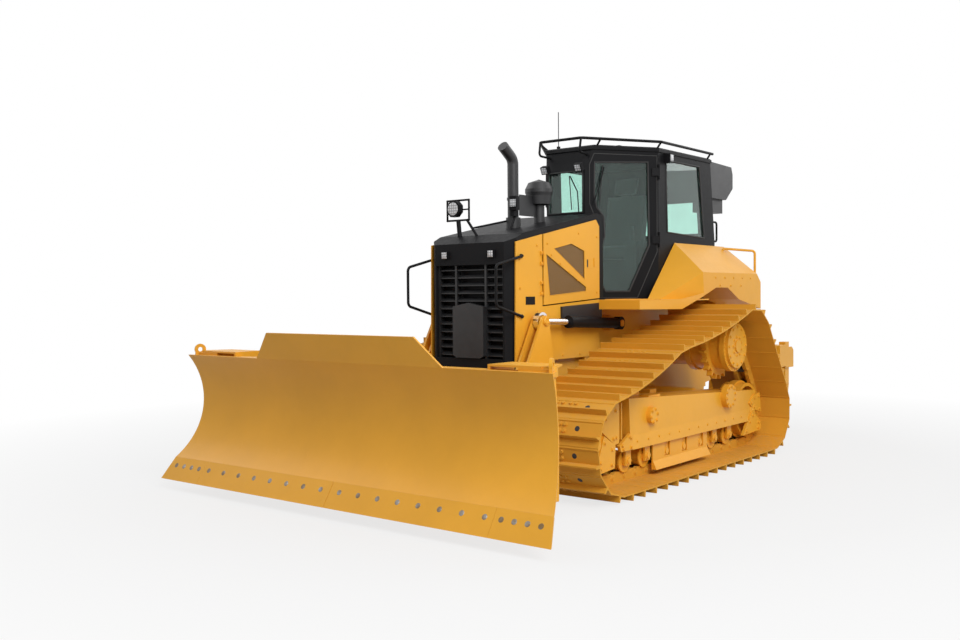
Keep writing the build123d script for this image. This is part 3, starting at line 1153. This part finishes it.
def make_blade():
    """Mouldboard with its raised centre, back beams, ribs, end shelves, lugs and lifting eyes."""
    half = EDGE_HALF + 10
    with BuildPart() as crest:
        slab([
            LIP, CREST, (CREST[0] - SKIN, CREST[1] + 2), (LIP[0] - SKIN, LIP[1] + 2),
        ], CREST_FOOT_HALF + 20, 2 * CREST_FOOT_HALF + 40)
        outline(Plane.YZ.offset(LIP[0] - 100), [
            (-CREST_FOOT_HALF, LIP[1] - 10), (CREST_FOOT_HALF, LIP[1] - 10), (CREST_HALF, CREST[1] + 20),
            (-CREST_HALF, CREST[1] + 20),
        ], 300, Mode.INTERSECT)
    with BuildPart() as blade:
        with BuildSketch(side_plane(half)) as skin:
            with BuildLine():
                ThreePointArc(SEAM, BELLY, LIP)
                Line(LIP, (LIP[0] - SKIN, LIP[1] + 2))
                ThreePointArc(
                    (LIP[0] - SKIN, LIP[1] + 2), (BELLY[0] - SKIN, BELLY[1]), (SEAM[0] - SKIN, SEAM[1] - 6))
                Line((SEAM[0] - SKIN, SEAM[1] - 6), SEAM)
            make_face()
        extrude(skin.sketch, amount=2 * half)
        add(crest.part)
        # back beams
        for low, high, back in ((330, 400, 2935), (600, 670, 2935)):
            slab([
                (back, low), (mouldboard_x(low) - SKIN + 4, low), (mouldboard_x(high) - SKIN + 4, high),
                (back, high),
            ], 1700, 3400)
        slab([(2935, 330), (2935, 670), (2953, 670), (2953, 330)], 1700, 3400)
        slab([
            (2990, 1110), (3100, 1120), (3100, LIP[1]), (2990, LIP[1]),
        ], BLADE_HALF_TOP - 20, 2 * BLADE_HALF_TOP - 40)
        for y in RIB_Y:
            slab([
                (2960, 300), (mouldboard_x(300) - SKIN + 4, 300), (mouldboard_x(520) - SKIN + 4, 520),
                (BELLY[0] - SKIN + 3, BELLY[1]), (mouldboard_x(980) - SKIN + 4, 980),
                (LIP[0] - SKIN + 2, LIP[1]), (2995, LIP[1]), (2955, 750),
            ], y + 25, 25)
        for side in (-1, 1):
            # shelf on three plates over each end
            inner, outer = SHELF_Y
            block((2780, 3060), sorted((side * inner, side * outer)), (1168, 1182))
            for y in (inner, 1600, outer - 18):
                block((2780, 3060), sorted((side * y, side * (y + 18))), (1112, 1169))
            block((3040, 3060), sorted((side * 1618, side * outer)), (1140, 1170))
            trim_end(side)
        for side in (-1, 1):
            # lifting eye, square to the flared end
            centre = Vector(EYE_SPOT[0], side * EYE_SPOT[1], EYE_SPOT[2])
            normal = Vector(EYE_NORMAL[0], side * EYE_NORMAL[1], 0)
            reach = EYE_THICK / 2
            # notch in the shelf, so that a pin can pass the eye
            behind = centre - normal * (reach + EYE_NOTCH[1] / 2)
            with Locations(Location((behind.X, behind.Y, centre.Z), (0, 0, side * EYE_TURN))):
                Box(EYE_NOTCH[0], EYE_NOTCH[1], EYE_NOTCH[0], mode=Mode.SUBTRACT)
            with Locations(Location((centre.X, centre.Y, 1135), (0, 0, side * EYE_TURN))):
                Box(84, EYE_THICK, 110)
            bar(centre - normal * reach, centre + normal * reach, EYE_RING)
            bar(centre - normal * (reach + 3), centre + normal * (reach + 3), EYE_BORE, Mode.SUBTRACT)
            # lugs for the angle cylinders
            for z in (ANGLE_Z - 95, ANGLE_Z + 70):
                y = side * ANGLE_EYE[1]
                block((ANGLE_EYE[0] - 45, 3000), (y - 50, y + 50), (z, z + 25))
            upright(ANGLE_EYE[0], side * ANGLE_EYE[1], (ANGLE_Z - 95, ANGLE_Z + 95), ANGLE_PIN_R)
            y = side * ANGLE_EYE[1]
            block((2935, 3000), (y - 50, y + 50), (ANGLE_Z + 5, ANGLE_Z + 95))
        # seat of the fore-and-aft pin
        block((2953, 2995), (-150, 150), (TILT_Z - 130, TILT_Z + 130))
        lengthways(0, TILT_Z, (2900, 3012), 55 + PIN_PLAY, Mode.SUBTRACT)
        lengthways(0, TILT_Z, (2900, 2953), 170, Mode.SUBTRACT)
        # tilt cylinder's pin
        lengthways(TILT_EYE[0], TILT_EYE[1], (TILT_X - 40, 2960), 18)
        block((TILT_X + 38, 3015), (TILT_EYE[0] - 40, TILT_EYE[0] + 40), (TILT_EYE[1] - 60, TILT_EYE[1] + 60))
    save(blade, "blade")


EDGE_THICK = 26.0
BIT_Y = 1540.0                # joint between the long edges and the end bits


def make_cutting_edges():
    """Two long cutting edges and two flared end bits under the mouldboard."""
    dx, dz = TIP[0] - SEAM[0], TIP[1] - SEAM[1]
    size = hypot(dx, dz)
    back = (dz / size * EDGE_THICK, -dx / size * EDGE_THICK)
    profile = [SEAM, TIP, (TIP[0] + back[0], TIP[1] + back[1] + 22), (SEAM[0] + back[0], SEAM[1] + back[1])]
    profile = [(x, z - RUN if i in (0, 3) else z) for i, (x, z) in enumerate(profile)]
    half = EDGE_HALF + 10
    with BuildPart() as edges:
        slab(profile, BIT_Y - 2, BIT_Y - 4)
        slab(profile, -2, BIT_Y - 4)
        slab(profile, half, half - BIT_Y)
        slab(profile, -BIT_Y, half - BIT_Y)
        for side in (-1, 1):
            trim_end(side)
    save(edges, "cutting_edges")


def cylinder_barrel(base, eye, length, radius, rod, width, pin):
    """Hollow barrel with its pin eye, between two points of which the second gives its direction."""
    base, eye = Vector(*base), Vector(*eye)
    along = (eye - base).normalized()
    gland = base + along * length
    with BuildPart() as barrel:
        bar(base + along * pin * 1.6, gland, radius)
        bar(gland - along * 45, gland, radius + 6)
        bar(base, base + along * pin * 2.2, width * 0.42)
    return barrel, along, gland


def make_lift_cylinders():
    """Lift cylinders, nearly level, from the tractor's side to the push frame's towers."""
    base, eye = (LIFT_BASE[0], LIFT_Y, LIFT_BASE[1]), (LIFT_EYE[0], LIFT_Y, LIFT_EYE[1])
    barrel, along, gland = cylinder_barrel(base, eye, 870, 50, 28, 66, 32)
    start, end = Vector(*base), Vector(*eye)
    with BuildPart() as whole:
        add(barrel.part)
        across(base[0], base[2], (LIFT_Y - 33, LIFT_Y + 33), 62)
        across(base[0], base[2], (LIFT_Y - 40, LIFT_Y + 40), 32 + PIN_PLAY, Mode.SUBTRACT)
        bar(start + along * 90, gland + along * 5, 28 + PIN_PLAY, Mode.SUBTRACT)
    both_sides(whole, "lift_barrel_left", "lift_barrel_right")
    with BuildPart() as rod:
        bar(end - along * 880, end - along * 60, 28)
        across(eye[0], eye[2], (LIFT_Y - 25, LIFT_Y + 25), 78)
        across(eye[0], eye[2], (LIFT_Y - 30, LIFT_Y + 30), 56, Mode.SUBTRACT)
    both_sides(rod, "lift_rod_left", "lift_rod_right")


def make_angle_cylinders():
    """Angle cylinders with the cross trunnions that let them swing and nod."""
    base, eye = (ANGLE_BASE[0], ANGLE_BASE[1], ANGLE_Z), (ANGLE_EYE[0], ANGLE_EYE[1], ANGLE_Z)
    start, end = Vector(*base), Vector(*eye)
    along = (end - start).normalized()
    cross = Vector(-along.Y, along.X, 0)
    with BuildPart() as trunnion:
        upright(base[0], base[1], (ANGLE_Z - 84, ANGLE_Z + 84), 16)
        bar(start - cross * 52, start + cross * 52, 16)
        with Locations(base):
            Sphere(26)
    both_sides(trunnion, "angle_trunnion_left", "angle_trunnion_right")
    with BuildPart() as barrel:
        bar(start + along * 70, start + along * ANGLE_GLAND, 40)
        bar(start + along * (ANGLE_GLAND - 40), start + along * ANGLE_GLAND, 45)
        for side in (-1, 1):
            bar(start + cross * side * 34, start + cross * side * 50, 30)
            with BuildSketch(Plane(origin=start + cross * side * 42, x_dir=cross, z_dir=along)) as ear:
                Rectangle(16, 50)
            extrude(ear.sketch, amount=95)
        bar(start - cross * 60, start + cross * 60, 16 + PIN_PLAY, Mode.SUBTRACT)
        bar(start + along * 80, start + along * (ANGLE_GLAND + 10), 22 + PIN_PLAY, Mode.SUBTRACT)
    both_sides(barrel, "angle_barrel_left", "angle_barrel_right")
    with BuildPart() as rod:
        bar(end - along * ANGLE_ROD, end - along * (ANGLE_RING + 4), 22)
        upright(eye[0], eye[1], (ANGLE_Z - 24, ANGLE_Z + 24), ANGLE_RING + 18)
        upright(eye[0], eye[1], (ANGLE_Z - 30, ANGLE_Z + 30), ANGLE_RING, Mode.SUBTRACT)
    both_sides(rod, "angle_rod_left", "angle_rod_right")


def make_tilt_cylinder():
    """Tilt cylinder across the back of the blade."""
    start, end = Vector(TILT_X, *TILT_BASE), Vector(TILT_X, *TILT_EYE)
    along = (end - start).normalized()
    with BuildPart() as barrel:
        bar(start + along * 30, start + along * 560, 40)
        lengthways(TILT_BASE[0], TILT_BASE[1], (TILT_X - 28, TILT_X + 28), 46)
        lengthways(TILT_BASE[0], TILT_BASE[1], (TILT_X - 40, TILT_X + 40), 20 + PIN_PLAY, Mode.SUBTRACT)
        bar(start + along * 60, start + along * 570, 22 + PIN_PLAY, Mode.SUBTRACT)
    save(barrel, "tilt_barrel")
    with BuildPart() as rod:
        bar(end - along * 560, end - along * 35, 22)
        lengthways(TILT_EYE[0], TILT_EYE[1], (TILT_X - 25, TILT_X + 25), 45)
        lengthways(TILT_EYE[0], TILT_EYE[1], (TILT_X - 30, TILT_X + 30), 26, Mode.SUBTRACT)
    save(rod, "tilt_rod")


# ---------------------------------------------------------------- ripper
RIP_DX = -sqrt(RIP_REACH ** 2 - RIP_RISE ** 2)


def make_ripper():
    """Parallelogram ripper: two links, the beam with shank pockets, shanks and the cylinder."""
    lower_end = (RIP_LOWER[0] + RIP_DX, RIP_LOWER[1] + RIP_RISE)
    upper_end = (RIP_UPPER[0] + RIP_DX, RIP_UPPER[1] + RIP_RISE)
    ux, uz = RIP_DX / RIP_REACH, RIP_RISE / RIP_REACH
    for name, a, b, ys, wide in (
        ("ripper_lower_link", RIP_LOWER, lower_end, ((-280, -200), (200, 280)), 62),
        ("ripper_upper_link", RIP_UPPER, upper_end, ((-280, -200), (200, 280)), 52),
    ):
        with BuildPart() as link:
            for low, high in ys:
                slab([
                    (a[0] - uz * wide, a[1] + ux * wide), (b[0] - uz * wide, b[1] + ux * wide),
                    (b[0] + uz * wide, b[1] - ux * wide), (a[0] + uz * wide, a[1] - ux * wide),
                ], high, high - low)
                for p in (a, b):
                    across(p[0], p[1], (low, high), wide)
            mid = ((a[0] + b[0]) / 2, (a[1] + b[1]) / 2)
            across(mid[0] + (0 if name == "ripper_lower_link" else 60), mid[1], (-200, 200), 32)
            for low, high in ys:
                for p in (a, b):
                    across(p[0], p[1], (low - 5, high + 5), RIP_PIN_R + PIN_PLAY, Mode.SUBTRACT)
        save(link, name)
    front = lower_end[0] - 75
    with BuildPart() as beam:
        slab([(front, 780), (front, 1030), (front - 230, 1030), (front - 230, 780)], RIP_HALF, 2 * RIP_HALF)
        for y in (-330, -170, 130, 290):
            slab([
                (front - 5, 560 + RIP_RISE), (front - 5, 1030), (upper_end[0] + 45, upper_end[1] + 50),
                (lower_end[0] + 62, lower_end[1] - 20), (lower_end[0] + 20, lower_end[1] - 60),
            ], y + 40, 40)
        for p in (lower_end, upper_end):
            across(p[0], p[1], (-330, -130), RIP_PIN_R)
            across(p[0], p[1], (130, 330), RIP_PIN_R)
        # pockets behind the beam
        for y in (-900, 0, 900):
            for side in (-1, 1):
                low, high = sorted((y + side * 38, y + side * 62))
                slab([
                    (front - 225, 790), (front - 225, 1000), (OVERALL_REAR + 50, 1000), (OVERALL_REAR, 960),
                    (OVERALL_REAR, 760), (front - 200, 760),
                ], high, high - low)
            across(front - 330, 900, (y - 62, y + 62), 22)
        for y in (-35, 15):
            slab([
                (front - 45, 1025), (front - 120, 1025), (front - 100, RIP_EYE_Z + 20),
                (front - 85, RIP_EYE_Z + 34), (front - 55, RIP_EYE_Z + 34), (front - 42, RIP_EYE_Z + 20),
            ], y + 20, 20)
        across(front - 70, RIP_EYE_Z, (-35, 35), RIP_EYE_PIN)
    save(beam, "ripper_beam")
    with BuildPart() as shanks:
        for y in (-900, 0, 900):
            slab([
                (front - 260, 1060), (front - 375, 1060), (front - 375, 560), (front - 330, 380),
                (front - 230, 210), (front - 215, 225), (front - 240, 380), (front - 265, 560),
            ], y + 37.7, 75.4)
            across(front - 330, 900, (y - 40, y + 40), 22 + PIN_PLAY, Mode.SUBTRACT)
    save(shanks, "ripper_shanks")
    base, eye = Vector(RIP_CYLINDER[0], 0, RIP_CYLINDER[1]), Vector(front - 70, 0, RIP_EYE_Z)
    along = (eye - base).normalized()
    with BuildPart() as barrel:
        bar(base + along * 30, base + along * 400, 45)
        across(base.X, base.Z, (-45, 45), 52)
        across(base.X, base.Z, (-50, 50), RIP_CYLINDER_PIN + PIN_PLAY, Mode.SUBTRACT)
        bar(base + along * 70, base + along * 410, 24 + PIN_PLAY, Mode.SUBTRACT)
    save(barrel, "ripper_barrel")
    with BuildPart() as rod:
        bar(eye - along * 600, eye - along * 70, 24)
        # neck between the rod and its narrow ring
        rise = Vector(-along.Z, 0, along.X) * 22
        near, far = eye - along * 44, eye - along * 80
        slab([(p.X, p.Z) for p in (near + rise, near - rise, far - rise, far + rise)], 14, 28)
        across(eye.X, eye.Z, (-14, 14), 52)
        across(eye.X, eye.Z, (-20, 20), RIP_EYE_RING, Mode.SUBTRACT)
    save(rod, "ripper_rod")


BUILD_ORDER = [
    make_tracks, make_idlers, make_rollers, make_track_frames, make_final_drives,
    make_main_frame, make_engine, make_nose, make_hood, make_side_panels, make_engine_doors,
    make_cab_shell, make_cab_roof, make_cab_glass, make_cab_doors, make_cab_inside,
    make_fenders, make_rear_tank, make_hvac,
    make_exhaust, make_lamps, make_rails, make_valve_boxes,
    make_push_frame, make_swivel, make_blade, make_cutting_edges,
    make_lift_cylinders, make_angle_cylinders, make_tilt_cylinder, make_ripper,
]
for make in BUILD_ORDER:
    make()
